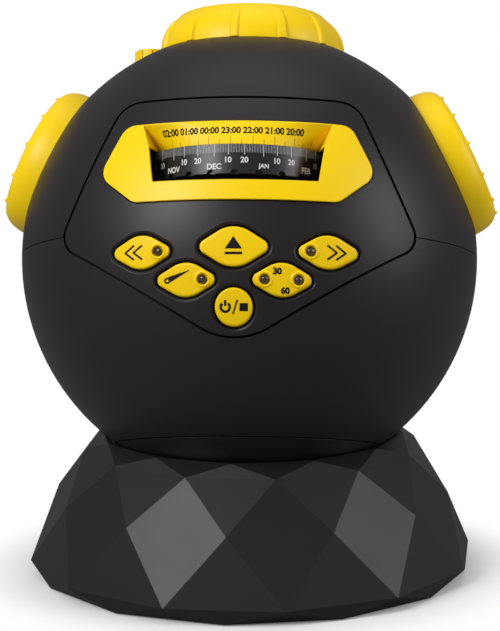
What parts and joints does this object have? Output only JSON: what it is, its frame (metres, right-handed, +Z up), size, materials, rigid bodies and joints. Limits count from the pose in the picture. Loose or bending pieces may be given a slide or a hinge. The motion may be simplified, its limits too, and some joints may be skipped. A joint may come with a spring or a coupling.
{
  "type": "planetarium projector",
  "caption": "Ball-shaped star projector that tilts and turns in a faceted stand, with a disc drawer, date drum, focus ring, speaker pods and push keys.",
  "frame": {"origin": "middle of the stand on the table, under the centre of the ball", "axes": "+Z up; the keys and the drawer look along -Y; +X is on the right as seen from the front"},
  "size_m": [0.1744, 0.1605, 0.2024],
  "materials": {
    "ball_black": "satin black moulded shell",
    "panel_black": "satin black moulded front panel",
    "stand_black": "matte black, fine texture",
    "yellow": "warm yellow, satin",
    "key_yellow": "warm yellow keys, satin",
    "drum_black": "black with printed dates",
    "inner_black": "black moulded inside parts",
    "gear_white": "white gears",
    "film": "printed star film",
    "lens_glass": "clear ground lens",
    "lamp_clear": "brownish clear indicator lamps",
    "lamp_white": "white projector lamps",
    "metal": "plain aluminium",
    "screw": "zinc plated screws",
    "board": "green circuit board",
    "chip": "black electronic parts",
    "socket": "black socket bodies",
    "grille": "black painted grille",
    "speaker": "black speaker",
    "foot_rubber": "soft black feet",
    "pad_felt": "soft black pad"
  },
  "bodies": {
    "stand": {"stand_shell": "stand_black", "floor_plate": "stand_black", "rubber_feet": "foot_rubber", "plate_screws": "screw"},
    "seat": {"seat_ring": "stand_black", "seat_pad": "pad_felt"},
    "ball": {"upper_shell": "ball_black", "lower_shell": "ball_black", "bottom_cap": "ball_black", "front_panel": "panel_black", "shell_screws": "screw", "chassis": "inner_black", "chassis_screws": "screw", "lens_mount": "inner_black", "condenser_holder": "inner_black", "condenser_lens": "lens_glass", "heat_sink": "metal", "lamp_board": "board", "lamp_led": "lamp_white", "main_board": "board", "board_parts": "chip", "power_inlet": "socket", "sound_socket": "socket", "key_board": "board", "key_switches": "chip", "key_lamps": "lamp_clear", "left_pod": "yellow", "right_pod": "yellow", "left_grille": "grille", "right_grille": "grille", "left_speaker": "speaker", "right_speaker": "speaker", "meteor_collar": "yellow", "meteor_tube": "inner_black", "meteor_lens": "lens_glass", "meteor_lamp": "lamp_white"},
    "focus": {"focus_ring": "yellow"},
    "barrel": {"lens_barrel": "inner_black", "front_lens": "lens_glass", "rear_lens": "lens_glass", "lens_retainer": "inner_black"},
    "meteor": {"meteor_ring": "yellow"},
    "drawer": {"drawer_tray": "inner_black", "drawer_front": "yellow", "drum_clip": "screw", "drawer_motor": "metal"},
    "drum": {"date_drum": "drum_black", "drum_gear": "gear_white"},
    "table": {"turntable": "gear_white", "star_disc": "inner_black", "star_film": "film"},
    "pinion": {"motor_pinion": "gear_white"},
    "button_back": {"key_back": "key_yellow"},
    "button_next": {"key_next": "key_yellow"},
    "button_eject": {"key_eject": "key_yellow"},
    "button_comet": {"key_comet": "key_yellow"},
    "button_timer": {"key_timer": "key_yellow"},
    "button_power": {"key_power": "key_yellow"}
  },
  "joints": [
    {"name": "ball_swivel", "type": "hinge", "parent": "stand", "child": "seat", "pos_m": [0, 0, 0.04], "axis": [0, 0, 1], "continuous": true},
    {"name": "ball_tilt", "type": "hinge", "parent": "seat", "child": "ball", "pos_m": [0, 0, 0.11125], "axis": [-1, 0, 0], "range_deg": [-16.1, 28.9]},
    {"name": "focus_turn", "type": "hinge", "parent": "ball", "child": "focus", "pos_m": [0, 0.02218, 0.18811], "axis": [0, 0.2773, 0.9608], "range_deg": [-75, 75]},
    {"name": "barrel_slide", "type": "slide", "parent": "ball", "child": "barrel", "axis": [0, 0.2773, 0.9608], "range_m": [-0.0025, 0.0025]},
    {"name": "meteor_turn", "type": "hinge", "parent": "ball", "child": "meteor", "pos_m": [-0.0372, 0.0376, 0.1795], "axis": [0, 0.2773, 0.9608], "range_deg": [-60, 60]},
    {"name": "back_press", "type": "slide", "parent": "ball", "child": "button_back", "axis": [0, 0.9608, -0.2773], "range_m": [0, 0.0009], "stiffness_N_per_m": 400},
    {"name": "next_press", "type": "slide", "parent": "ball", "child": "button_next", "axis": [0, 0.9608, -0.2773], "range_m": [0, 0.0009], "stiffness_N_per_m": 400},
    {"name": "eject_press", "type": "slide", "parent": "ball", "child": "button_eject", "axis": [0, 0.9608, -0.2773], "range_m": [0, 0.0009], "stiffness_N_per_m": 400},
    {"name": "comet_press", "type": "slide", "parent": "ball", "child": "button_comet", "axis": [0, 0.9608, -0.2773], "range_m": [0, 0.0009], "stiffness_N_per_m": 400},
    {"name": "timer_press", "type": "slide", "parent": "ball", "child": "button_timer", "axis": [0, 0.9608, -0.2773], "range_m": [0, 0.0009], "stiffness_N_per_m": 400},
    {"name": "power_press", "type": "slide", "parent": "ball", "child": "button_power", "axis": [0, 0.9608, -0.2773], "range_m": [0, 0.0009], "stiffness_N_per_m": 400},
    {"name": "drawer_slide", "type": "slide", "parent": "ball", "child": "drawer", "axis": [0, -0.9608, 0.2773], "range_m": [0, 0.08]},
    {"name": "drum_spin", "type": "hinge", "parent": "drawer", "child": "drum", "pos_m": [0, -0.04002, 0.1457], "axis": [0, 0.2773, 0.9608], "continuous": true},
    {"name": "table_spin", "type": "hinge", "parent": "drawer", "child": "table", "pos_m": [0, 0.00832, 0.14007], "axis": [0, 0.2773, 0.9608], "continuous": true},
    {"name": "pinion_spin", "type": "hinge", "parent": "drawer", "child": "pinion", "pos_m": [0, 0.03906, 0.1312], "axis": [0, 0.2773, 0.9608], "continuous": true}
  ],
  "couplings": [
    {"joint": "barrel_slide", "follows": "focus_turn", "m_per_rad": 0.0019},
    {"joint": "table_spin", "follows": "drum_spin", "ratio": -1},
    {"joint": "pinion_spin", "follows": "drum_spin", "ratio": 3}
  ]
}
